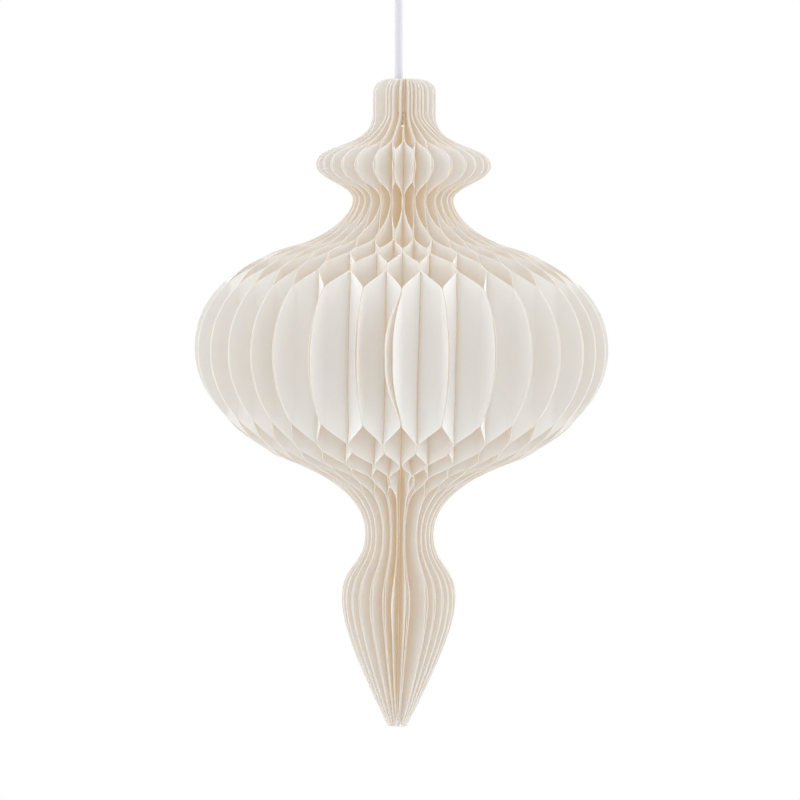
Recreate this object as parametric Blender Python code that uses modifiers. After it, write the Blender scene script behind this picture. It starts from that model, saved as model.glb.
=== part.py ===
"""A hanging decoration of cut card leaves, glued in turn to one neighbour and the other so that the
opened book of leaves makes a honeycomb, on a cord with a loop at its upper end.

Metres, +Z up. The tip of the leaves stands at the origin, and the leaves' shared axis is the Z axis.
Each leaf starts as a flat outline with its spine along Z. It is scored along lines parallel to the spine,
folded at those scores onto its plan, and given the thickness of the card."""

import math

import bmesh
import bpy
from mathutils import Vector

MM = 0.001

# Card and glue
CARD = 0.3 * MM
GLUE_GAP = 0.3 * MM
STRIP_WIDTH = 8.7 * MM
FIRST_STRIP_RADIUS = 30.8 * MM
STRIP_PITCH = 25.7 * MM
STRIP_COUNT = 5
FREE_EDGE_SPLAY = 0.5 * MM

# Fan of the leaves: the angle from one glued pair to the next, counted from the front to both sides.
# What is left of the half turn is shared evenly by the pairs at the back.
LEAF_PAIRS = 28
FRONT_ANGLE = math.radians(13.0)
FRONT_COUNT = 3
SIDE_ANGLE = math.radians(10.6)
SIDE_COUNT = 4

# Front seam, where the first and the last leaf meet: open low down, and leaning left at the belly
SEAM_GAP = 2.0 * MM
SEAM_START_RADIUS = 16.0 * MM
LEFT_SEAM_SWING = 10.9 * MM
RIGHT_SEAM_SWING = 6.5 * MM

# Outline of a leaf: radius from the axis and height above the tip
TIP_RADIUS = 7.2 * MM
BULB_RADIUS = 41.6 * MM
BULB_HEIGHT = 93.5 * MM
STEM_RADIUS = 25.0 * MM
STEM_HEIGHT = 140.0 * MM
HIP_RADIUS = 92.5 * MM
HIP_HEIGHT = 198.0 * MM
BELLY_RADIUS = 150.4 * MM
BELLY_HEIGHT = 274.0 * MM
SHOULDER_RADIUS = 72.8 * MM
SHOULDER_HEIGHT = 350.3 * MM
WAIST_RADIUS = 36.5 * MM
WAIST_HEIGHT = 382.5 * MM
COLLAR_RADIUS = 63.4 * MM
COLLAR_HEIGHT = 407.5 * MM
NECK_RADIUS = 22.9 * MM
NECK_HEIGHT = 444.0 * MM
CROWN_HEIGHT = 470.0 * MM
CROWN_CORNER_WIDTH = 13.0 * MM
CROWN_CORNER_DROP = 9.5 * MM

# Slopes of the outline, measured from upright and outward
TIP_SLOPE = math.radians(26.0)
HIP_SLOPE = math.radians(58.0)
SHOULDER_SLOPE = math.radians(-70.0)

# Pulls of the outline: how far its curve follows the slope before and after each point
TIP_PULL = 54.4 * MM
BULB_PULL_IN = 18.9 * MM
BULB_PULL_OUT = 23.5 * MM
STEM_PULL_IN = 23.5 * MM
STEM_PULL_OUT = 38.0 * MM
HIP_PULL_IN = 9.9 * MM
HIP_PULL_OUT = 8.4 * MM
BELLY_PULL_IN = 45.2 * MM
BELLY_PULL_OUT = 59.2 * MM
SHOULDER_PULL_IN = 3.8 * MM
SHOULDER_PULL_OUT = 30.8 * MM
WAIST_PULL_IN = 5.5 * MM
WAIST_PULL_OUT = 10.0 * MM
COLLAR_PULL_IN = 11.2 * MM
COLLAR_PULL_OUT = 16.4 * MM
NECK_PULL = 25.6 * MM
CROWN_CORNER_PULL = 0.55

# Cord, and the stop that carries the leaves on it
CORD_RADIUS = 2.9 * MM
CORD_OFFSET = 4.2 * MM
CORD_LEAN = math.radians(0.64)
CORD_RISE = 64.0 * MM
CORD_PARTS = 7
CORD_CLEARANCE = 0.5 * MM
STOPPER_DEPTH = 24.0 * MM
STOPPER_RADIUS = 12.6 * MM
STOPPER_THICKNESS = 2.4 * MM
STOP_KNOT_RADIUS = 4.8 * MM
STOP_KNOT_HEIGHT = 7.0 * MM
POCKET_CLEARANCE = 0.9 * MM
LOOP_KNOT_RADIUS = 6.4 * MM
LOOP_KNOT_HEIGHT = 15.0 * MM
LOOP_WIDTH = 22.0 * MM
LOOP_HEIGHT = 50.0 * MM
LOOP_FULLNESS = 0.62
LOOP_TAPER = 0.6
LOOP_PARTS = 16
SEAT_GAP = 0.3 * MM

# Fineness of the facets, and the distance under which two points are taken as one
OUTLINE_STEPS = 16
OUTLINE_ANGLE = math.radians(18.0)
TURNED_STEPS = 12
CORD_SIDES = 8
WELD = 0.02 * MM

BACK_COUNT = LEAF_PAIRS // 2 - FRONT_COUNT - SIDE_COUNT
BACK_ANGLE = (math.pi - FRONT_COUNT * FRONT_ANGLE - SIDE_COUNT * SIDE_ANGLE) / BACK_COUNT
LEAF_COUNT = 2 * LEAF_PAIRS
FRONT = -math.pi / 2.0
PAIR_OFFSET = (CARD + GLUE_GAP) / 2.0
SPINE_RADIUS = PAIR_OFFSET / math.sin(min(FRONT_ANGLE, SIDE_ANGLE, BACK_ANGLE) / 4.0)
CORD_TOP = CROWN_HEIGHT + CORD_RISE
WELL_RADIUS = CORD_OFFSET + CORD_RADIUS + CORD_CLEARANCE
POCKET_RADIUS = STOPPER_RADIUS + POCKET_CLEARANCE
STOPPER_TOP = CROWN_HEIGHT - STOPPER_DEPTH
POCKET_TOP = STOPPER_TOP + SEAT_GAP
STOPPER_BOTTOM = STOPPER_TOP - STOPPER_THICKNESS
STOP_KNOT_TOP = STOPPER_BOTTOM - SEAT_GAP
POCKET_BOTTOM = STOP_KNOT_TOP - STOP_KNOT_HEIGHT - POCKET_CLEARANCE


def make_material(name, color, roughness):
    material = bpy.data.materials.new(name)
    material.use_nodes = True
    shader = material.node_tree.nodes["Principled BSDF"]
    shader.inputs["Base Color"].default_value = (*color, 1.0)
    shader.inputs["Roughness"].default_value = roughness
    shader.inputs["Metallic"].default_value = 0.0
    material.diffuse_color = (*color, 1.0)
    return material


def new_collection(name):
    collection = bpy.data.collections.new(name)
    bpy.context.scene.collection.children.link(collection)
    return collection


def add_object(name, data, collection, material):
    obj = bpy.data.objects.new(name, data)
    collection.objects.link(obj)
    data.materials.clear()
    data.materials.append(material)
    return obj


def cord_point(height):
    """The cord's centre at a height: a straight line that leans a little off the leaves' axis."""
    sideways = -CORD_OFFSET - (height - CROWN_HEIGHT) * math.tan(CORD_LEAN)
    return Vector((sideways, 0.0, height))


def slanted(slope, length):
    """A step of this length along a slope of the outline."""
    return Vector((math.sin(slope) * length, math.cos(slope) * length))


def outline_knots():
    """The leaf's outline, counterclockwise from the tip's inner corner: point, handle in, handle out.

    Handles are given as steps from the point, and none makes the piece beside it a straight line."""
    up = Vector((0.0, 1.0))
    still = Vector((0.0, 0.0))
    corner_low = CROWN_HEIGHT - CROWN_CORNER_DROP
    return [
        ((SPINE_RADIUS, 0.0), still, still),
        ((TIP_RADIUS, 0.0), still, slanted(TIP_SLOPE, TIP_PULL)),
        ((BULB_RADIUS, BULB_HEIGHT), up * -BULB_PULL_IN, up * BULB_PULL_OUT),
        ((STEM_RADIUS, STEM_HEIGHT), up * -STEM_PULL_IN, up * STEM_PULL_OUT),
        ((HIP_RADIUS, HIP_HEIGHT), slanted(HIP_SLOPE, -HIP_PULL_IN), slanted(HIP_SLOPE, HIP_PULL_OUT)),
        ((BELLY_RADIUS, BELLY_HEIGHT), up * -BELLY_PULL_IN, up * BELLY_PULL_OUT),
        ((SHOULDER_RADIUS, SHOULDER_HEIGHT), slanted(SHOULDER_SLOPE, -SHOULDER_PULL_IN),
         slanted(SHOULDER_SLOPE, SHOULDER_PULL_OUT)),
        ((WAIST_RADIUS, WAIST_HEIGHT), up * -WAIST_PULL_IN, up * WAIST_PULL_OUT),
        ((COLLAR_RADIUS, COLLAR_HEIGHT), up * -COLLAR_PULL_IN, up * COLLAR_PULL_OUT),
        ((NECK_RADIUS, NECK_HEIGHT), up * -NECK_PULL, still),
        ((NECK_RADIUS, corner_low), still, up * CROWN_CORNER_DROP * CROWN_CORNER_PULL),
        ((NECK_RADIUS - CROWN_CORNER_WIDTH, CROWN_HEIGHT),
         Vector((CROWN_CORNER_WIDTH * CROWN_CORNER_PULL, 0.0)), still),
        ((WELL_RADIUS, CROWN_HEIGHT), still, still),
        ((WELL_RADIUS, POCKET_TOP), still, still),
        ((POCKET_RADIUS, POCKET_TOP), still, still),
        ((POCKET_RADIUS, POCKET_BOTTOM), still, still),
        ((SPINE_RADIUS, POCKET_BOTTOM), still, still),
    ]


def flat_leaf():
    """The flat leaf as a mesh of one face: radius along X, height along Y."""
    knots = outline_knots()
    curve = bpy.data.curves.new("leaf_outline", "CURVE")
    curve.dimensions = "2D"
    curve.fill_mode = "BOTH"
    curve.resolution_u = OUTLINE_STEPS
    spline = curve.splines.new("BEZIER")
    spline.bezier_points.add(len(knots) - 1)
    spline.use_cyclic_u = True
    for point, (place, step_in, step_out) in zip(spline.bezier_points, knots):
        center = Vector(place)
        point.handle_left_type = "FREE" if step_in.length else "VECTOR"
        point.handle_right_type = "FREE" if step_out.length else "VECTOR"
        point.co = center.to_3d()
        point.handle_left = (center + step_in).to_3d()
        point.handle_right = (center + step_out).to_3d()
    guide = bpy.data.objects.new("leaf_outline", curve)
    bpy.context.scene.collection.objects.link(guide)
    graph = bpy.context.evaluated_depsgraph_get()
    mesh = bpy.data.meshes.new_from_object(guide.evaluated_get(graph))
    bpy.data.objects.remove(guide)
    bpy.data.curves.remove(curve)
    return mesh


def strip_edges(strip):
    """The radii where a glue strip starts and ends; strip 1 is the innermost."""
    middle = FIRST_STRIP_RADIUS + (strip - 1) * STRIP_PITCH
    return middle - STRIP_WIDTH / 2.0, middle + STRIP_WIDTH / 2.0


def gap_angle(gap):
    """The angle of a gap between two pairs; gap 0 starts at the front seam and the last gap ends there."""
    from_front = min(gap, LEAF_PAIRS - 1 - gap)
    if from_front < FRONT_COUNT:
        return FRONT_ANGLE
    if from_front < FRONT_COUNT + SIDE_COUNT:
        return SIDE_ANGLE
    return BACK_ANGLE


def leaf_plan(side, at_seam):
    """A leaf's path seen from above, from the spine out: radius, pair line and distance from that line.

    Pair line 0 is the line the leaf shares with its neighbour at the odd strips, and pair line 1, half a
    gap away, the one at the even strips. The distance is measured towards line 1 along each."""
    first_offset = SEAM_GAP / 2.0 + CARD / 2.0 if at_seam else PAIR_OFFSET
    plan = [(SPINE_RADIUS, 0, PAIR_OFFSET)]
    if at_seam:
        plan.append((SEAM_START_RADIUS, 0, first_offset))
    plan.append((strip_edges(1)[1], 0, first_offset))
    for strip in range(2, STRIP_COUNT + 1):
        line = (strip + 1) % 2
        offset = -PAIR_OFFSET if line else PAIR_OFFSET
        start, end = strip_edges(strip)
        plan.append((start, line, offset))
        if not at_seam or strip < STRIP_COUNT:
            plan.append((end, line, offset))
    if not at_seam:
        free_offset = plan[-1][2] + FREE_EDGE_SPLAY
    elif side > 0:
        free_offset = plan[-1][2] - RIGHT_SEAM_SWING
    else:
        free_offset = plan[-1][2] + LEFT_SEAM_SWING
    plan.append((BELLY_RADIUS, plan[-1][1], free_offset))
    return plan


def plan_places(plan, side, spread):
    """The plan's points as radius, x and y, with pair line 0 along X and the leaf on this side of it."""
    places = []
    for radius, line, offset in plan:
        turn = line * spread / 2.0
        x = radius * math.cos(turn) - offset * math.sin(turn)
        y = radius * math.sin(turn) + offset * math.cos(turn)
        places.append((radius, x, side * y))
    return places


def on_plan(places, radius):
    """The point of the plan at a radius of the flat leaf, straight between the scores."""
    for (r0, x0, y0), (r1, x1, y1) in zip(places, places[1:]):
        if radius <= r1:
            break
    share = (radius - r0) / (r1 - r0)
    return x0 + (x1 - x0) * share, y0 + (y1 - y0) * share


def folded_leaf(side, spread, at_seam):
    """The leaf as an open surface: cut along its scores, then folded onto its plan."""
    mesh = flat_leaf()
    plan = leaf_plan(side, at_seam)
    places = plan_places(plan, side, spread)
    shape = bmesh.new()
    shape.from_mesh(mesh)
    bmesh.ops.remove_doubles(shape, verts=shape.verts, dist=WELD)
    bmesh.ops.dissolve_limit(shape, angle_limit=math.radians(0.5), verts=[], edges=shape.edges)
    for radius, _, _ in plan[1:-1]:
        everything = list(shape.verts) + list(shape.edges) + list(shape.faces)
        bmesh.ops.bisect_plane(shape, geom=everything, dist=WELD,
                               plane_co=(radius, 0.0, 0.0), plane_no=(1.0, 0.0, 0.0))
    bmesh.ops.dissolve_limit(shape, angle_limit=OUTLINE_ANGLE, verts=shape.verts, edges=[])
    for vert in shape.verts:
        radius, height, _ = vert.co
        x, y = on_plan(places, radius)
        vert.co = (x, y, height)
    bmesh.ops.recalc_face_normals(shape, faces=shape.faces)
    shape.to_mesh(mesh)
    shape.free()
    return mesh


def add_leaves(collection, material):
    """Every leaf round the axis. Seen from above, odd numbers lie anticlockwise of their pair line and even
    numbers clockwise of theirs. The book starts and ends at the front seam, and leaves alike share a mesh."""
    meshes = {}
    pair_angle = FRONT
    for index in range(LEAF_COUNT):
        side = 1 if index % 2 == 0 else -1
        spread = gap_angle(index // 2)
        at_seam = index in (0, LEAF_COUNT - 1)
        if side < 0:
            pair_angle += spread
        if (side, spread, at_seam) not in meshes:
            meshes[side, spread, at_seam] = folded_leaf(side, spread, at_seam)
        leaf = add_object(f"leaf_{index + 1:02d}", meshes[side, spread, at_seam], collection, material)
        leaf.rotation_euler.z = pair_angle
        card = leaf.modifiers.new("card", "SOLIDIFY")
        card.thickness = CARD
        card.offset = 0.0
        card.use_even_offset = True


def add_turned(name, profile, center, collection, material):
    """A turned solid: the profile runs down its outer side, from axis to axis, round a line along Z."""
    mesh = bpy.data.meshes.new(name)
    edges = [(i, i + 1) for i in range(len(profile) - 1)]
    mesh.from_pydata([(radius, 0.0, height) for radius, height in profile], edges, [])
    obj = add_object(name, mesh, collection, material)
    obj.location = center
    screw = obj.modifiers.new("turn", "SCREW")
    screw.axis = "Z"
    screw.steps = TURNED_STEPS
    screw.render_steps = TURNED_STEPS
    screw.use_merge_vertices = True
    screw.merge_threshold = WELD
    return obj


def add_tube(name, points, collection, material):
    curve = bpy.data.curves.new(name, "CURVE")
    curve.dimensions = "3D"
    curve.bevel_depth = CORD_RADIUS
    curve.bevel_resolution = CORD_SIDES // 2 - 2
    curve.use_fill_caps = True
    spline = curve.splines.new("POLY")
    spline.points.add(len(points) - 1)
    for point, place in zip(spline.points, points):
        point.co = (*place, 1.0)
    return add_object(name, curve, collection, material)


def add_cord(collection, material):
    """The straight run of the cord, from its stop knot through the disc and the neck to the loop's knot."""
    low = STOP_KNOT_TOP + SEAT_GAP / 2.0
    heights = [low + (CORD_TOP - low) * part / CORD_PARTS for part in range(CORD_PARTS + 1)]
    return add_tube("cord", [cord_point(height) for height in heights], collection, material)


def knot_profile(radius, height):
    """A rounded barrel with a shallow waist, as two turns of cord side by side look from outside."""
    half = height / 2.0
    return [
        (0.0, half), (radius * 0.55, half), (radius * 0.88, half * 0.82), (radius, half * 0.45),
        (radius * 0.93, 0.0), (radius, -half * 0.45), (radius * 0.88, -half * 0.82),
        (radius * 0.55, -half), (0.0, -half),
    ]


def add_stop(collection, disc_material, cord_material):
    """The disc under the neck's shoulder, bored for the cord, and the knot under it."""
    bore = CORD_RADIUS + SEAT_GAP
    center = cord_point(STOPPER_TOP - STOPPER_THICKNESS / 2.0)
    mesh = bpy.data.meshes.new("stopper_disc")
    shape = bmesh.new()
    bmesh.ops.create_cone(shape, cap_ends=True, segments=2 * TURNED_STEPS, radius1=STOPPER_RADIUS,
                          radius2=STOPPER_RADIUS, depth=STOPPER_THICKNESS)
    shape.to_mesh(mesh)
    shape.free()
    disc = add_object("stopper_disc", mesh, collection, disc_material)
    disc.location.z = center.z
    cutters = new_collection("cutters")
    cutter_mesh = bpy.data.meshes.new("cord_bore")
    shape = bmesh.new()
    bmesh.ops.create_cone(shape, cap_ends=True, segments=TURNED_STEPS, radius1=bore, radius2=bore,
                          depth=4.0 * STOPPER_THICKNESS)
    shape.to_mesh(cutter_mesh)
    shape.free()
    cutter = bpy.data.objects.new("cord_bore", cutter_mesh)
    cutters.objects.link(cutter)
    cutter.location = center
    cutter.rotation_euler.y = -CORD_LEAN
    cutter.hide_render = True
    cutter.display_type = "WIRE"
    cut = disc.modifiers.new("cord_bore", "BOOLEAN")
    cut.operation = "DIFFERENCE"
    cut.solver = "EXACT"
    cut.object = cutter
    knot_center = cord_point(STOP_KNOT_TOP - STOP_KNOT_HEIGHT / 2.0)
    add_turned("stop_knot", knot_profile(STOP_KNOT_RADIUS, STOP_KNOT_HEIGHT), knot_center,
               collection, cord_material)


def loop_points():
    """The hanging loop: a drop shape whose two legs run side by side into the knot."""
    base = cord_point(CORD_TOP + SEAT_GAP + LOOP_KNOT_HEIGHT / 2.0)
    leg = CORD_RADIUS + SEAT_GAP / 2.0
    bulge = LOOP_WIDTH * LOOP_FULLNESS
    points = []
    for part in range(LOOP_PARTS + 1):
        turn = math.pi * (2.0 * part / LOOP_PARTS - 1.0)
        rise = (1.0 + math.cos(turn)) / 2.0
        across = bulge * math.sin(turn) * rise ** LOOP_TAPER + leg * math.sin(turn / 2.0)
        points.append(base + Vector((across, 0.0, rise * LOOP_HEIGHT)))
    return points


def as_mesh_object(obj, collection, material):
    """A curve or a turned piece as a plain mesh object, its caps welded, so that it can be joined."""
    graph = bpy.context.evaluated_depsgraph_get()
    mesh = bpy.data.meshes.new_from_object(obj.evaluated_get(graph))
    name = obj.name
    place = obj.matrix_world.copy()
    shape = bmesh.new()
    shape.from_mesh(mesh)
    bmesh.ops.remove_doubles(shape, verts=shape.verts, dist=WELD)
    shape.to_mesh(mesh)
    shape.free()
    bpy.data.objects.remove(obj)
    made = add_object(name, mesh, collection, material)
    made.matrix_world = place
    return made


def add_loop(collection, material):
    """The knot at the cord's upper end with the hanging loop above it, one length of cord."""
    center = cord_point(CORD_TOP + SEAT_GAP + LOOP_KNOT_HEIGHT / 2.0)
    knot = add_turned("loop_knot", knot_profile(LOOP_KNOT_RADIUS, LOOP_KNOT_HEIGHT), center,
                      collection, material)
    cutters = bpy.data.collections["cutters"]
    loop = add_tube("loop_bight", loop_points(), cutters, material)
    bpy.context.view_layer.update()
    loop = as_mesh_object(loop, cutters, material)
    loop.hide_render = True
    loop.display_type = "WIRE"
    join = knot.modifiers.new("loop_bight", "BOOLEAN")
    join.operation = "UNION"
    join.solver = "EXACT"
    join.object = loop


def main():
    for obj in list(bpy.data.objects):
        bpy.data.objects.remove(obj)
    collection = new_collection("pleated_hanging_decoration")
    card = make_material("card", (0.87, 0.84, 0.79), 0.85)
    cord = make_material("cord", (0.80, 0.79, 0.86), 0.5)
    disc = make_material("stop_disc", (0.76, 0.66, 0.52), 0.5)
    add_leaves(collection, card)
    add_cord(collection, cord)
    add_stop(collection, disc, cord)
    add_loop(collection, cord)


main()
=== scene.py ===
import math

import bpy
import numpy as np
from mathutils import Matrix, Vector


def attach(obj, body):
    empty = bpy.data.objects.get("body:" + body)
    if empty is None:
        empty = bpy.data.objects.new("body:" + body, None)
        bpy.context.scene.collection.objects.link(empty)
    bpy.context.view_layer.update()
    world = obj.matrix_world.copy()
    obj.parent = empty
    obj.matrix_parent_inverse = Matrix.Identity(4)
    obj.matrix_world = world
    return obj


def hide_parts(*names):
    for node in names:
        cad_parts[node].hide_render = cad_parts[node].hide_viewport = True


# The looks of a honeycomb card decoration that hangs on a cord.
# Metres, +Z up; the tip of the leaves is at the origin and the front seam points to -Y.
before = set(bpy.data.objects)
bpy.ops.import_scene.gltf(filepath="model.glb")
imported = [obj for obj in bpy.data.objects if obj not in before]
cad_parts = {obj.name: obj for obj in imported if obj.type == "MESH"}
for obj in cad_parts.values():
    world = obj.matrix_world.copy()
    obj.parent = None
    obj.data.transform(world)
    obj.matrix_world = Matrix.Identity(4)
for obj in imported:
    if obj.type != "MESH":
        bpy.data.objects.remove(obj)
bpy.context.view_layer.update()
print("frame loaded:", len(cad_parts), "nodes")


# Where the photo was taken from. pixel is the size of one pixel of the 800 px photo on the
# hanging axis.
camera = {
    "sensor": 36.0,
    "farEnd": 60.0,
    "pixel": 0.0007246,
    "distance": 3.62,
    "levelRow": 150.0,  # the row of the photo at the height of the lens
    "tipRow": 727.5,  # the row of the photo where the leaves end
    "middle": 400.0,  # the photo's middle row and column
    "axisShift": -0.9,  # pixels from the photo's middle column back to the hanging axis
    "roll": 0.64,  # degrees that the decoration leans to the right in the photo
}

# The run of the cord, as the solids have it: straight, a little off the leaves' axis and leaning.
cordRun = {
    "radius": 0.0029,
    "offset": 0.0042,
    "lean": 0.64,  # degrees
    "crown": 0.470,
    "low": 0.44315,
    "high": 0.534,
    "points": 15,
    "bevelSteps": 10,
}


def cordPoint(height):
    # a straight line: the offset at the crown, and the lean above and below it
    run = cordRun
    sideways = -run["offset"] - (height - run["crown"]) * math.tan(math.radians(run["lean"]))
    return Vector((sideways, 0.0, height))


def addCamera():
    look = bpy.data.cameras.new("photoCamera")
    look.sensor_width = camera["sensor"]
    look.sensor_fit = "HORIZONTAL"
    span = camera["pixel"] * 2.0 * camera["middle"]
    look.lens = look.sensor_width * camera["distance"] / span
    look.clip_end = camera["farEnd"]
    eye = bpy.data.objects.new("photoCamera", look)
    bpy.context.scene.collection.objects.link(eye)
    height = (camera["tipRow"] - camera["levelRow"]) * camera["pixel"]
    aimHeight = (camera["tipRow"] - camera["middle"]) * camera["pixel"]
    across = camera["axisShift"] * camera["pixel"]
    pitch = math.atan2(height - aimHeight, camera["distance"])
    turn = Matrix.Rotation(math.pi / 2.0 - pitch, 4, "X")
    roll = Matrix.Rotation(math.radians(camera["roll"]), 4, "Z")
    eye.matrix_world = Matrix.Translation((across, -camera["distance"], height)) @ turn @ roll
    bpy.context.scene.camera = eye


addCamera()
print("camera placed")


def addCord():
    run = cordRun
    curve = bpy.data.curves.new("hangingCord", "CURVE")
    curve.dimensions = "3D"
    # the bevel's depth is multiplied by each point's radius, and the curve's bounds grow by that radius
    curve.bevel_depth = 1.0
    curve.bevel_resolution = run["bevelSteps"]
    curve.use_fill_caps = True
    spline = curve.splines.new("POLY")
    spline.points.add(run["points"] - 1)
    heights = np.linspace(run["low"], run["high"], run["points"])
    for point, height in zip(spline.points, heights):
        point.co = (*cordPoint(float(height)), 1.0)
        point.radius = run["radius"]
    spline.use_smooth = True
    cord = bpy.data.objects.new("hangingCord", curve)
    bpy.context.scene.collection.objects.link(cord)
    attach(cord, "root")
    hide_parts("cord")
    return cord


cordPiece = addCord()
print("cord run")


# Shader helpers

def nodeValue(node, name, value):
    node.inputs[name].default_value = value


def mathNode(tree, operation, *values):
    # one math node over the values, each a number or another node's socket
    node = tree.nodes.new("ShaderNodeMath")
    node.operation = operation
    for socket, value in zip(node.inputs, values):
        if isinstance(value, float):
            socket.default_value = value
        else:
            tree.links.new(value, socket)
    return node.outputs[0]


def newMaterial(name):
    material = bpy.data.materials.new(name)
    material.use_nodes = True
    tree = material.node_tree
    return material, tree, tree.nodes["Principled BSDF"]


grainNoise = {"detail": 3.0, "roughness": 0.6}


def grainGroup():
    # fine grain: noise at one scale gives a shade around 1 and a small bump
    group = bpy.data.node_groups.new("fineGrain", "ShaderNodeTree")
    face = group.interface
    for name in ("Scale", "Stretch", "Shade", "Height"):
        face.new_socket(name=name, in_out="INPUT", socket_type="NodeSocketFloat")
    face.new_socket(name="Shade", in_out="OUTPUT", socket_type="NodeSocketFloat")
    face.new_socket(name="Normal", in_out="OUTPUT", socket_type="NodeSocketVector")
    nodes, links = group.nodes, group.links
    inside = nodes.new("NodeGroupInput")
    outside = nodes.new("NodeGroupOutput")
    place = nodes.new("ShaderNodeTexCoord")
    squeeze = nodes.new("ShaderNodeCombineXYZ")
    nodeValue(squeeze, "X", 1.0)
    nodeValue(squeeze, "Y", 1.0)
    links.new(inside.outputs["Stretch"], squeeze.inputs["Z"])
    scaled = nodes.new("ShaderNodeVectorMath")
    scaled.operation = "MULTIPLY"
    links.new(place.outputs["Object"], scaled.inputs[0])
    links.new(squeeze.outputs[0], scaled.inputs[1])
    noise = nodes.new("ShaderNodeTexNoise")
    nodeValue(noise, "Detail", grainNoise["detail"])
    nodeValue(noise, "Roughness", grainNoise["roughness"])
    links.new(scaled.outputs[0], noise.inputs["Vector"])
    links.new(inside.outputs["Scale"], noise.inputs["Scale"])
    centered = mathNode(group, "SUBTRACT", noise.outputs["Fac"], 0.5)
    shade = mathNode(group, "MULTIPLY_ADD", centered, inside.outputs["Shade"], 1.0)
    links.new(shade, outside.inputs["Shade"])
    bump = nodes.new("ShaderNodeBump")
    nodeValue(bump, "Strength", 1.0)
    links.new(inside.outputs["Height"], bump.inputs["Distance"])
    links.new(noise.outputs["Fac"], bump.inputs["Height"])
    links.new(bump.outputs["Normal"], outside.inputs["Normal"])
    return group


fineGrain = grainGroup()


def addGrain(tree, shader, color, grain):
    # the color times the grain's shade, and the grain's bump
    node = tree.nodes.new("ShaderNodeGroup")
    node.node_tree = fineGrain
    for name, value in zip(("Scale", "Stretch", "Shade", "Height"), grain):
        nodeValue(node, name, value)
    shaded = tree.nodes.new("ShaderNodeVectorMath")
    shaded.operation = "SCALE"
    tree.links.new(color, shaded.inputs[0])
    tree.links.new(node.outputs["Shade"], shaded.inputs["Scale"])
    tree.links.new(shaded.outputs[0], shader.inputs["Base Color"])
    tree.links.new(node.outputs["Normal"], shader.inputs["Normal"])


# A grain is its scale, its stretch along the leaves, its shade and the height of its bump.
cardLook = {
    "grain": (1400.0, 0.35, 0.05, 0.00002),
    "face": (0.768, 0.768, 0.756),
    "cut": (0.66, 0.65, 0.635),
    "roughness": 0.85,
    "shine": 0.25,
    "scatter": 0.0006,  # how far light spreads inside the card
    "scatterColor": (1.0, 0.86, 0.70),
    # painted glow: the warm emission below stands in for the light of a path's further bounces
    "paintedBounceGlow": (0.465, 0.32, 0.19),  # light found by a path with more bounces than these
    "deepBounces": 2.5,
}
# deep: whether the material also gets the painted bounce glow
plainLooks = {
    "cordSkin": {
        "color": (0.66, 0.655, 0.725), "roughness": 0.55, "grain": (700.0, 1.0, 0.04, 0.00001),
        "deep": False,
    },
    # the stopper disc's tan is painted shade: the warm tone of the shade in the slit where it shows
    "discPlasticPaintedShade": {
        "color": (0.74, 0.60, 0.44), "roughness": 0.45, "grain": (500.0, 1.0, 0.05, 0.00002),
        "deep": True,
    },
    # the stop knot is the cord's white knot, coloured tan as painted shade to match the slit
    "knotThreadPaintedShade": {
        "color": (0.74, 0.62, 0.48), "roughness": 0.60, "grain": (700.0, 1.0, 0.06, 0.00002),
        "deep": True,
    },
}


def addPaintedBounceGlow(tree, shader):
    # painted glow: a path that has bounced often among the leaves gets a warm emission, standing in for
    # the light of all its further bounces
    path = tree.nodes.new("ShaderNodeLightPath")
    deep = mathNode(tree, "GREATER_THAN", path.outputs["Diffuse Depth"], cardLook["deepBounces"])
    glow = tree.nodes.new("ShaderNodeVectorMath")
    glow.operation = "SCALE"
    glow.inputs[0].default_value = cardLook["paintedBounceGlow"]
    tree.links.new(deep, glow.inputs["Scale"])
    tree.links.new(glow.outputs[0], shader.inputs["Emission Color"])
    nodeValue(shader, "Emission Strength", 1.0)


def cardMaterial():
    # off-white card that light enters a little, darker on the cut edges, with a faint fibre grain and a
    # painted warm glow on often-bounced paths
    material, tree, shader = newMaterial("foldedCard")
    cutEdge = tree.nodes.new("ShaderNodeAttribute")
    cutEdge.attribute_name = "cutEdge"
    tone = tree.nodes.new("ShaderNodeMix")
    tone.data_type = "RGBA"
    tone.inputs["A"].default_value = (*cardLook["face"], 1.0)
    tone.inputs["B"].default_value = (*cardLook["cut"], 1.0)
    tree.links.new(cutEdge.outputs["Fac"], tone.inputs["Factor"])
    addGrain(tree, shader, tone.outputs["Result"], cardLook["grain"])
    addPaintedBounceGlow(tree, shader)
    nodeValue(shader, "Roughness", cardLook["roughness"])
    nodeValue(shader, "Specular IOR Level", cardLook["shine"])
    nodeValue(shader, "Subsurface Weight", 1.0)
    nodeValue(shader, "Subsurface Radius", cardLook["scatterColor"])
    nodeValue(shader, "Subsurface Scale", cardLook["scatter"])
    return material


def plainMaterial(name):
    # one colour with a faint grain, and the painted bounce glow where deep is set
    look = plainLooks[name]
    material, tree, shader = newMaterial(name)
    if look["deep"]:
        addPaintedBounceGlow(tree, shader)
    base = tree.nodes.new("ShaderNodeRGB")
    base.outputs[0].default_value = (*look["color"], 1.0)
    addGrain(tree, shader, base.outputs[0], look["grain"])
    nodeValue(shader, "Roughness", look["roughness"])
    return material


cardPaper = cardMaterial()
cordSkin = plainMaterial("cordSkin")
discPlasticPaintedShade = plainMaterial("discPlasticPaintedShade")
knotThreadPaintedShade = plainMaterial("knotThreadPaintedShade")
cordPiece.data.materials.append(cordSkin)
print("materials made")


# One leaf of card

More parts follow.
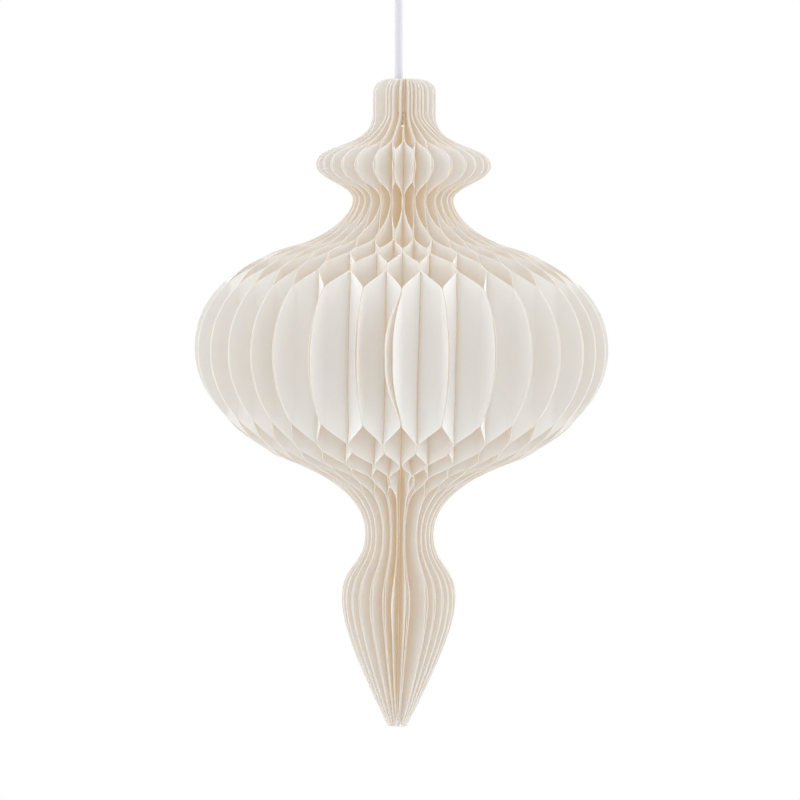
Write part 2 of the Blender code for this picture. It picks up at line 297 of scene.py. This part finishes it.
leaf = {
    "thickness": 0.00042,
    "pairGap": 0.0003,  # from a pair's line to the middle of each of its leaves
    "stripWidth": 0.0087,
    "firstStrip": 0.0308,
    "stripPitch": 0.0257,
    "strips": 5,
    "foldSoftness": 0.12,  # share of a wall over which it bends at a glued strip
    "bellySoftness": (0.62, 0.36),  # the same for the outermost wall's two bends at the belly
    "bellyHeight": 0.274,
    "bellyReach": (0.016, 0.052),  # full to the first distance above and below, gone at the second
    "tipSoftness": 0.85,  # and for the innermost wall's inner bend, full below the first height
    "tipHeights": (0.165, 0.195),
    "spineColumn": 0.020,
    "wallColumns": 8,
    "marginColumns": 5,
    "rowStep": 0.0033,
    "rowPair": 0.00005,  # half the distance of the two rows at each step of the spine edge
    "curveSteps": 60,
    "slopeStep": 0.0002,
    "edgeSplay": 0.0005,  # how far a free edge stands off, at most
    "splayPower": 1.5,
    "splayMean": 0.6,
    "splaySwing": 0.4,
    "splayWaves": 30.0,
    "splaySizes": (0.5, 1.3),
    "wobble": 0.0006,  # how far the lines of the fan stray, times these waves of their angle
    "wobbleSizes": (0.4, 1.0),
    "heightWaves": ((16.0, 1.0), (37.0, 0.6)),
    "radiusWave": (45.0, 0.7),
    "waveReach": (0.006, 0.06),
    "seed": 7,
}
creaseAngle = math.radians(50.0)

# The fan: degrees from one glued pair to the next, over so many gaps from the front seam on both
# sides. The gaps at the back share what is left.
fan = {"pairs": 28, "front": 13.0, "frontGaps": 3, "side": 10.6, "sideGaps": 4}

# Where the leaves stand off the even fan, as degrees for the pairs counted from the front seam, left
# of it negative. Each zone is full between its two middle heights and gone at its outer two.
zones = [
    {"heights": (0.428, 0.445, 0.60, 0.61),
     "turns": {1: -5.0, 2: -11.9, 3: -16.2, 4: -20.5, 5: -23.6, 6: -22.0, 7: -16.0, 8: -8.0,
               -1: 5.0, -2: 4.2, -3: 10.6, -4: 15.0, -5: -4.0, -6: -3.0, -7: -1.0}},
    {"heights": (0.424, 0.436, 0.60, 0.61), "turns": {13: 8.0, 14: -3.0}},
    {"heights": (0.19, 0.23, 0.34, 0.38),
     "turns": {-1: 1.0, -2: 0.4, -3: 2.3, -4: 4.6, -5: 5.6, -6: 6.0, -7: 5.0, -8: 3.5, -9: 1.5,
               3: -1.6, 4: -1.5, 5: -1.2, 6: -3.5, 7: -4.5, 8: -3.5, 9: -1.5}},
    {"heights": (-0.02, -0.01, 0.14, 0.20),
     "turns": {1: -4.4, 2: 4.0,
               -1: -1.7, -2: -2.3, -3: -3.5, -4: -4.2, -5: -5.5, -6: -4.0, -7: -2.0}},
]

# The first and last leaf, which meet at the front seam
seam = {
    "swingStart": 0.1293,
    "swingSoftness": (0.3, 0.1),
    "swingLeft": 0.0109,  # how far the left end leaf's free edge stands left of the seam at the belly
    "swingRight": 0.0065,
    "openHeights": (0.03, 0.09, 0.13),  # low down they open to a V, by these degrees there
    "openLeft": (6.0, 5.8, 3.2),
    "openRight": (5.4, 5.8, 7.0),
    "openLow": 0.170,
    "openHigh": 0.200,
    "openReach": (0.0065, 0.0160),
    "fullRadius": 1.0,  # more than any leaf has: no cut below the neck
    "neckRadius": 0.0140,  # they are cut narrower in the neck
    "neckLow": 0.4330,
    "neckHigh": 0.4375,
}

# The leaf's outline: radius, height, and the handle lengths and slope of its curve at that point.
# A slope is the angle from upright, outward.
outlineKnots = [
    (0.0072, 0.0, 26.0, 0.0, 0.0544),
    (0.0416, 0.0935, 0.0, 0.0189, 0.0235),
    (0.0250, 0.1400, 0.0, 0.0235, 0.0380),
    (0.0925, 0.1980, 58.0, 0.0099, 0.0084),
    (0.1504, 0.2740, 0.0, 0.0452, 0.0592),
    (0.0728, 0.3503, -70.0, 0.0038, 0.0308),
    (0.0365, 0.3825, 0.0, 0.0055, 0.0100),
    (0.0634, 0.4075, 0.0, 0.0112, 0.0164),
    (0.0229, 0.4440, 0.0, 0.0256, 0.0040),
    (0.0229, 0.4605, 0.0, 0.0040, 0.0052),
]
bellyRadius = max(knot[0] for knot in outlineKnots)
crown = {"height": 0.470, "corner": 0.0130, "pull": 0.55}
# The spine edge's radius: below the pocket, in it and above it
spine = {
    "radius": 0.00649,
    "pocket": 0.0135,
    "well": 0.0076,
    "pocketLow": 0.4354,
    "pocketHigh": 0.4463,
}


def smooth(value, low, high):
    # 0 below low, 1 above high, and 3s^2 - 2s^3 between
    share = np.clip((value - low) / (high - low), 0.0, 1.0)
    return share * share * (3.0 - 2.0 * share)


def outlineCurve():
    # cubic curves between the knots, and a last one round the crown's corner
    s = np.linspace(0.0, 1.0, leaf["curveSteps"])[:, None]
    knots = []
    for radius, height, slope, before, after in outlineKnots:
        place = np.array((radius, height))
        way = np.array((math.sin(math.radians(slope)), math.cos(math.radians(slope))))
        knots.append((place - way * before, place, place + way * after))
    lastRadius = outlineKnots[-1][0] - crown["corner"]
    top = np.array((lastRadius, crown["height"]))
    knots.append((top + np.array((crown["corner"] * crown["pull"], 0.0)), top, top))
    runs = []
    for (_, start, out), (into, end, _) in zip(knots, knots[1:]):
        ends = (1 - s) ** 3 * start + s ** 3 * end
        runs.append(ends + 3 * (1 - s) ** 2 * s * out + 3 * (1 - s) * s ** 2 * into)
    return np.concatenate([run[:-1] for run in runs] + [top[None]])


def stripEdges():
    # the radii where the glued strips start and end
    middles = leaf["firstStrip"] + leaf["stripPitch"] * np.arange(leaf["strips"])
    return middles - leaf["stripWidth"] / 2.0, middles + leaf["stripWidth"] / 2.0


def leafColumns():
    # radii of the grid's columns: a few by the spine, many on each wall, two on each glued strip
    inner, outer = stripEdges()
    columns = [spine["radius"], spine["well"], spine["pocket"], leaf["spineColumn"]]
    columns += [inner[0], outer[0]]
    for start, end in zip(outer[:-1], inner[1:]):
        columns += list(np.linspace(start, end, leaf["wallColumns"] + 1)[1:])
        columns.append(end + leaf["stripWidth"])
    columns += list(np.linspace(outer[-1], bellyRadius, leaf["marginColumns"] + 1)[1:])
    return np.array(columns)


def leafRows():
    # heights of the grid's rows, evenly spaced along the outline, with a pair of rows at each step of
    # the spine edge, and the radii of both edges there
    line = outlineCurve()
    along = np.concatenate([[0.0], np.cumsum(np.hypot(*np.diff(line, axis=0).T))])
    count = int(along[-1] / leaf["rowStep"])
    heights = np.interp(np.linspace(0.0, along[-1], count), along, line[:, 1])
    step = leaf["rowPair"]
    extra = [spine["pocketLow"] - step, spine["pocketLow"] + step,
             spine["pocketHigh"] - step, spine["pocketHigh"] + step]
    heights = np.unique(np.concatenate([heights, extra]))
    keep = np.concatenate([[True], np.diff(heights) > step * 0.9])
    heights = heights[keep]
    outer = np.interp(heights, line[:, 1], line[:, 0])
    inner = np.where(heights < spine["pocketHigh"], spine["pocket"], spine["well"])
    inner = np.where(heights < spine["pocketLow"], spine["radius"], inner)
    return heights, inner, outer


def gridFaces(columns, inner, outer):
    # a grid over rows and columns, where the columns past the outline are drawn in to it, so that
    # quads there become triangles or vanish
    rows, across = len(inner), len(columns)
    first = np.searchsorted(columns, inner + 1e-7) - 1
    last = np.searchsorted(columns, outer - 1e-7)
    column = np.clip(np.arange(across)[None, :], first[:, None], last[:, None])
    index = np.arange(rows)[:, None] * across + column
    a, b, c, d = index[:-1, :-1], index[:-1, 1:], index[1:, 1:], index[1:, :-1]
    a, b, c, d = (part.ravel() for part in (a, b, c, d))
    low, high = a != b, c != d
    quads = np.stack([a, b, c, d], 1)[low & high]
    lowTriangles = np.stack([a, b, c], 1)[low & ~high]
    highTriangles = np.stack([a, c, d], 1)[~low & high]
    triangles = np.concatenate([lowTriangles, highTriangles])
    used = np.unique(np.concatenate([quads.ravel(), triangles.ravel()]))
    return np.searchsorted(used, quads), np.searchsorted(used, triangles), used


def lineAngles():
    # the angle of every pair line and of the lines halfway between them, counted from the front seam
    half = fan["pairs"] // 2
    back = half - fan["frontGaps"] - fan["sideGaps"]
    rest = 180.0 - fan["front"] * fan["frontGaps"] - fan["side"] * fan["sideGaps"]
    gaps = [fan["front"]] * fan["frontGaps"] + [fan["side"]] * fan["sideGaps"]
    gaps += [rest / back] * back
    gaps = np.array(gaps + gaps[::-1])
    return np.radians(np.concatenate([[0.0], np.cumsum(np.repeat(gaps / 2.0, 2))]))


def zoneTurns(zone):
    # the zone's turn of every pair line, and the mean of its neighbours for each line halfway
    turns = np.zeros(2 * fan["pairs"] + 1)
    for pair, turn in zone["turns"].items():
        turns[2 * (pair % fan["pairs"])] = math.radians(turn)
    turns[1::2] = (turns[:-1:2] + turns[2::2]) / 2.0
    return turns


lineCount = 2 * fan["pairs"]
front = -math.pi / 2.0
evenAngles = lineAngles()
turnsOfZones = [zoneTurns(zone) for zone in zones]
random = np.random.default_rng(leaf["seed"])
linePhase = random.uniform(0.0, 2.0 * math.pi, (lineCount, 3))
lineSize = random.uniform(*leaf["wobbleSizes"], lineCount)
leafPhase = random.uniform(0.0, 2.0 * math.pi, lineCount)
leafSize = random.uniform(*leaf["splaySizes"], lineCount)


def ramp(value, low, high, softLow, softHigh):
    # from 0 to 1 along a straight line that is rounded over a share of its run at each end
    s = np.clip((value - low) / (high - low), 0.0, 1.0)
    slope = 1.0 / (1.0 - softLow / 2.0 - softHigh / 2.0)
    straight = slope * (s - softLow / 2.0)
    rise = slope * s * s / (2.0 * softLow)
    rest = 1.0 - slope * (1.0 - s) ** 2 / (2.0 * softHigh)
    return np.where(s < softLow, rise, np.where(s > 1.0 - softHigh, rest, straight))


def lineAngle(line, radius, height):
    # a line's even angle, the turns of the zones, and slow waves along height and radius
    angle = np.full_like(radius, evenAngles[line])
    for zone, turns in zip(zones, turnsOfZones):
        low, lowFull, highFull, high = zone["heights"]
        angle += turns[line] * smooth(height, low, lowFull) * (1.0 - smooth(height, highFull, high))
    phase = linePhase[line % lineCount]
    waves = [(height, *wave) for wave in leaf["heightWaves"]] + [(radius, *leaf["radiusWave"])]
    wave = sum(size * np.sin(way * pace + start) for (way, pace, size), start in zip(waves, phase))
    reach = smooth(radius, *leaf["waveReach"])
    return angle + leaf["wobble"] * lineSize[line % lineCount] * wave * reach / radius


def seamOffset(number, radius, height):
    # how far an end leaf stands off the seam, to the right: both free edges lean left at the belly,
    # and the leaves open to a V low down
    right = number == 0
    swing = seam["swingRight"] if right else seam["swingLeft"]
    lean = ramp(radius, seam["swingStart"], bellyRadius, *seam["swingSoftness"])
    degrees = np.interp(height, seam["openHeights"], seam["openRight" if right else "openLeft"])
    opening = np.tan(np.radians(degrees)) * (1.0 if right else -1.0)
    low = 1.0 - smooth(height, seam["openLow"], seam["openHigh"])
    return radius * opening * low * smooth(radius, *seam["openReach"]) - swing * lean


def leafPlace(number, radius, height):
    # the plan of leaf number at a flat radius: its angle goes from pair line to halfway line and back
    # between the glued strips, and it stands half a gap off the line that it lies on
    homeLine = 2 * ((number + 1) // 2)
    toward = 1 if number % 2 == 0 else -1
    inner, outer = stripEdges()
    share = np.zeros_like(radius)
    softer = 1.0 - smooth(np.abs(height - leaf["bellyHeight"]), *leaf["bellyReach"])
    for gap, (start, end) in enumerate(zip(outer[:-1], inner[1:])):
        low = high = leaf["foldSoftness"]
        if gap == 0:
            low = low + (leaf["tipSoftness"] - low) * (1.0 - smooth(height, *leaf["tipHeights"]))
        if gap == leaf["strips"] - 2:
            low, high = (low + (soft - low) * softer for soft in leaf["bellySoftness"])
        share += (1 if gap % 2 == 0 else -1) * ramp(radius, start, end, low, high)
    home = lineAngle(homeLine, radius, height)
    away = lineAngle(homeLine + toward, radius, height)
    offset = toward * leaf["pairGap"] * (1.0 - 2.0 * share)
    margin = np.clip((radius - outer[-1]) / (bellyRadius - outer[-1]), 0.0, 1.0)
    wave = np.sin(height * leaf["splayWaves"] + leafPhase[number])
    splay = margin ** leaf["splayPower"] * (leaf["splayMean"] + leaf["splaySwing"] * wave)
    offset += toward * leaf["edgeSplay"] * leafSize[number] * splay
    if number in (0, lineCount - 1):
        offset += seamOffset(number, radius, height)
    angle = front + home + (away - home) * share
    x = radius * np.cos(angle) - offset * np.sin(angle)
    y = radius * np.sin(angle) + offset * np.cos(angle)
    return x, y


def leafMesh(number, columns, heights, inner, outer):
    # both faces of the card half its thickness off its middle surface, joined round the cut edge
    quads, triangles, used = gridFaces(columns, inner, outer)
    radius = np.clip(columns[None, :], inner[:, None], outer[:, None]).ravel()[used]
    height = np.repeat(heights, len(columns))[used]
    x, y = leafPlace(number, radius, height)
    step = leaf["slopeStep"]
    xOut, yOut = leafPlace(number, radius + step, height)
    xIn, yIn = leafPlace(number, radius - step, height)
    run = np.stack([xOut - xIn, yOut - yIn], 1)
    run /= np.linalg.norm(run, axis=1)[:, None]
    normal = np.stack([run[:, 1], -run[:, 0], np.zeros(len(run))], 1)
    middle = np.stack([x, y, height], 1)
    half = leaf["thickness"] / 2.0
    points = np.concatenate([middle + normal * half, middle - normal * half])
    count = len(middle)
    edges = np.concatenate([quads[:, [i, (i + 1) % 4]] for i in range(4)]
                           + [triangles[:, [i, (i + 1) % 3]] for i in range(3)])
    _, place, uses = np.unique(np.sort(edges, 1), axis=0, return_index=True, return_counts=True)
    rim = edges[place[uses == 1]]
    rimQuads = np.stack([rim[:, 1], rim[:, 0], rim[:, 0] + count, rim[:, 1] + count], 1)
    allQuads = np.concatenate([quads, quads[:, ::-1] + count, rimQuads])
    allTriangles = np.concatenate([triangles, triangles[:, ::-1] + count])
    corners = np.concatenate([allQuads.ravel(), allTriangles.ravel()])
    sizes = np.concatenate([np.full(len(allQuads), 4), np.full(len(allTriangles), 3)])
    starts = np.concatenate([[0], np.cumsum(sizes)[:-1]])
    mesh = bpy.data.meshes.new(f"cardLeaf_{number + 1:02d}")
    mesh.vertices.add(len(points))
    mesh.vertices.foreach_set("co", points.astype(np.float32).ravel())
    mesh.loops.add(len(corners))
    mesh.loops.foreach_set("vertex_index", corners.astype(np.int32))
    mesh.polygons.add(len(sizes))
    mesh.polygons.foreach_set("loop_start", starts.astype(np.int32))
    mesh.update(calc_edges=True)
    mesh.validate()
    cut = np.zeros(len(sizes), np.float32)
    cut[2 * len(quads):len(allQuads)] = 1.0
    mesh.attributes.new("cutEdge", "FLOAT", "FACE").data.foreach_set("value", cut)
    mesh.shade_smooth()
    mesh.set_sharp_from_angle(angle=creaseAngle)
    return mesh


def addLeaves():
    # the end leaves' edge is drawn in to the neck's radius over the heights of the step
    columns = leafColumns()
    heights, inner, outer = leafRows()
    below = 1.0 - smooth(heights, seam["neckLow"], seam["neckHigh"])
    narrow = seam["neckRadius"] + seam["fullRadius"] * below
    for number in range(lineCount):
        reach = np.minimum(outer, narrow) if number in (0, lineCount - 1) else outer
        mesh = leafMesh(number, columns, heights, inner, reach)
        mesh.materials.append(cardPaper)
        piece = bpy.data.objects.new(mesh.name, mesh)
        bpy.context.scene.collection.objects.link(piece)
        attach(piece, "root")
        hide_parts(f"leaf_{number + 1:02d}")
    return len(mesh.polygons)


print("leaves made,", addLeaves(), "faces each")


# The loop at the cord's end and the binding that closes it

loop = {
    "height": 0.050,
    "width": 0.022,
    "bulge": 0.62,
    "pinch": 0.6,
    "legGap": 0.00015,
    "steps": 96,
    "sides": 24,
}
binding = {
    "radius": 0.0062,
    "height": 0.0150,
    "turns": 13,
    "ridge": 0.00035,
    "rowsPerTurn": 8,
    "sides": 40,
    "seat": 0.0003,
    "endPower": 8,
    "endDip": 0.25,
}


def gridMesh(name, points, material):
    # a mesh over a grid of points (rows, around, 3), its ends closed by a fan to their middle
    rows, around = points.shape[:2]
    index = np.arange(rows * around).reshape(rows, around)
    nextIndex = np.roll(index, -1, 1)
    quads = np.stack([index[:-1], nextIndex[:-1], nextIndex[1:], index[1:]], -1).reshape(-1, 4)
    ends = [points[0].mean(0), points[-1].mean(0)]
    low = np.stack([nextIndex[0], index[0], np.full(around, rows * around)], 1)
    high = np.stack([index[-1], nextIndex[-1], np.full(around, rows * around + 1)], 1)
    places = np.concatenate([points.reshape(-1, 3), ends])
    mesh = bpy.data.meshes.new(name)
    mesh.from_pydata(places.tolist(), [], quads.tolist() + low.tolist() + high.tolist())
    mesh.materials.append(material)
    mesh.shade_smooth()
    mesh.set_sharp_from_angle(angle=creaseAngle)
    piece = bpy.data.objects.new(name, mesh)
    bpy.context.scene.collection.objects.link(piece)
    return piece


def addLoop():
    # a drop-shaped bight of the cord: sideways sin(t) times a power of the rise, plus the legs' own
    # offset; the rise is (1 + cos(t)) / 2
    base = np.array(cordPoint(cordRun["high"] + binding["seat"] + binding["height"] / 2.0))
    turn = np.linspace(-math.pi, math.pi, loop["steps"])
    rise = (1.0 + np.cos(turn)) / 2.0
    leg = cordRun["radius"] + loop["legGap"]
    bulge = loop["width"] * loop["bulge"] * rise ** loop["pinch"]
    across = bulge * np.sin(turn) + leg * np.sin(turn / 2.0)
    line = np.stack([across, np.zeros_like(turn), rise * loop["height"]], 1) + base
    way = np.gradient(line, axis=0)
    way /= np.linalg.norm(way, axis=1)[:, None]
    side = np.array((0.0, 1.0, 0.0))
    up = np.cross(way, side)
    around = np.linspace(0.0, 2.0 * math.pi, loop["sides"], endpoint=False)
    ring = np.cos(around)[None, :, None] * up[:, None] + np.sin(around)[None, :, None] * side
    points = line[:, None] + ring * cordRun["radius"]
    return gridMesh("cordLoop", points, cordSkin)


def addBinding():
    # a sleeve of thread laid turn on turn: its radius ripples once for each turn and dips at both ends
    base = np.array(cordPoint(cordRun["high"] + binding["seat"]))
    share = np.linspace(0.0, 1.0, binding["turns"] * binding["rowsPerTurn"])
    ripple = np.abs(np.sin(share * math.pi * binding["turns"]))
    ends = np.sqrt(np.clip(1.0 - np.abs(2.0 * share - 1.0) ** binding["endPower"], 0.0, 1.0))
    width = 1.0 - binding["endDip"] + binding["endDip"] * ends
    radius = (binding["radius"] + binding["ridge"] * ripple) * width
    around = np.linspace(0.0, 2.0 * math.pi, binding["sides"], endpoint=False)
    x = radius[:, None] * np.cos(around)
    y = radius[:, None] * np.sin(around)
    z = np.repeat(share[:, None] * binding["height"], len(around), 1)
    return gridMesh("loopBinding", np.stack([x, y, z], -1) + base, cordSkin)


loopPiece = addLoop()
bindingPiece = addBinding()
for piece in (loopPiece, bindingPiece):
    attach(piece, "root")
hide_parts("loop_knot")
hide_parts("loop_knot")
print("loop and binding made")


def dressNode(name, material):
    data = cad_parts[name].data
    data.materials.clear()
    data.materials.append(material)


# the disc and the knot take the tan of the painted shade in the slit
dressNode("stopper_disc", discPlasticPaintedShade)
dressNode("stop_knot", knotThreadPaintedShade)


# Floor, sky and lamps

studio = {
    "floorHeight": -0.30,
    "floorRadius": 1.25,
    "floorSides": 96,
    "floorRoughness": 0.9,
    "floorColor": (0.86, 0.86, 0.86),
    "backdrop": 1.0,
    "frontFill": 0.83,
    "sideFill": 1.75,
    "lampSize": 1.6,
    "lampEnergy": 1.5,
    "lampAim": (0.0, 0.0, 0.25),
    "lampPlaces": {
        "leftSoftbox": (-1.9, -0.9, 0.55),
        "rightSoftbox": (1.9, -0.9, 0.55),
        "frontSoftbox": (0.0, -2.4, 0.9),
    },
}


def addFloor():
    # a plain flat disc below the hanging decoration
    around = np.linspace(0.0, 2.0 * math.pi, studio["floorSides"], endpoint=False)
    x = studio["floorRadius"] * np.cos(around)
    y = studio["floorRadius"] * np.sin(around)
    z = np.full_like(x, studio["floorHeight"])
    mesh = bpy.data.meshes.new("floor")
    mesh.from_pydata(np.stack([x, y, z], 1).tolist(), [], [list(range(len(x)))])
    floor = bpy.data.objects.new("floor", mesh)
    bpy.context.scene.collection.objects.link(floor)
    material, tree, shader = newMaterial("paleFloor")
    nodeValue(shader, "Base Color", (*studio["floorColor"], 1.0))
    nodeValue(shader, "Roughness", studio["floorRoughness"])
    mesh.materials.append(material)


def addLamp(name):
    lamp = bpy.data.lights.new(name, "AREA")
    lamp.shape = "SQUARE"
    lamp.size = studio["lampSize"]
    lamp.energy = studio["lampEnergy"]
    holder = bpy.data.objects.new(name, lamp)
    bpy.context.scene.collection.objects.link(holder)
    holder.location = studio["lampPlaces"][name]
    way = Vector(studio["lampAim"]) - holder.location
    holder.rotation_euler = way.to_track_quat("-Z", "Y").to_euler()


def addSky():
    # white behind the object; the light comes from a sky as strong as
    # frontFill + (sideFill - frontFill) x^2, where x is the direction's share to the side
    world = bpy.data.worlds.new("studioSky")
    world.use_nodes = True
    nodes, links = world.node_tree.nodes, world.node_tree.links
    nodes.clear()
    seen = nodes.new("ShaderNodeBackground")
    fill = nodes.new("ShaderNodeBackground")
    for background in (seen, fill):
        nodeValue(background, "Color", (1.0, 1.0, 1.0, 1.0))
    nodeValue(seen, "Strength", studio["backdrop"])
    way = nodes.new("ShaderNodeTexCoord")
    split = nodes.new("ShaderNodeSeparateXYZ")
    links.new(way.outputs["Generated"], split.inputs[0])
    square = mathNode(world.node_tree, "MULTIPLY", split.outputs["X"], split.outputs["X"])
    more = studio["sideFill"] - studio["frontFill"]
    strength = mathNode(world.node_tree, "MULTIPLY_ADD", square, more, studio["frontFill"])
    links.new(strength, fill.inputs["Strength"])
    path = nodes.new("ShaderNodeLightPath")
    mix = nodes.new("ShaderNodeMixShader")
    out = nodes.new("ShaderNodeOutputWorld")
    links.new(path.outputs["Is Camera Ray"], mix.inputs[0])
    links.new(fill.outputs[0], mix.inputs[1])
    links.new(seen.outputs[0], mix.inputs[2])
    links.new(mix.outputs[0], out.inputs["Surface"])
    bpy.context.scene.world = world


addFloor()
addSky()
for name in studio["lampPlaces"]:
    addLamp(name)
bpy.context.scene.view_settings.view_transform = "Standard"
print("studio lit")
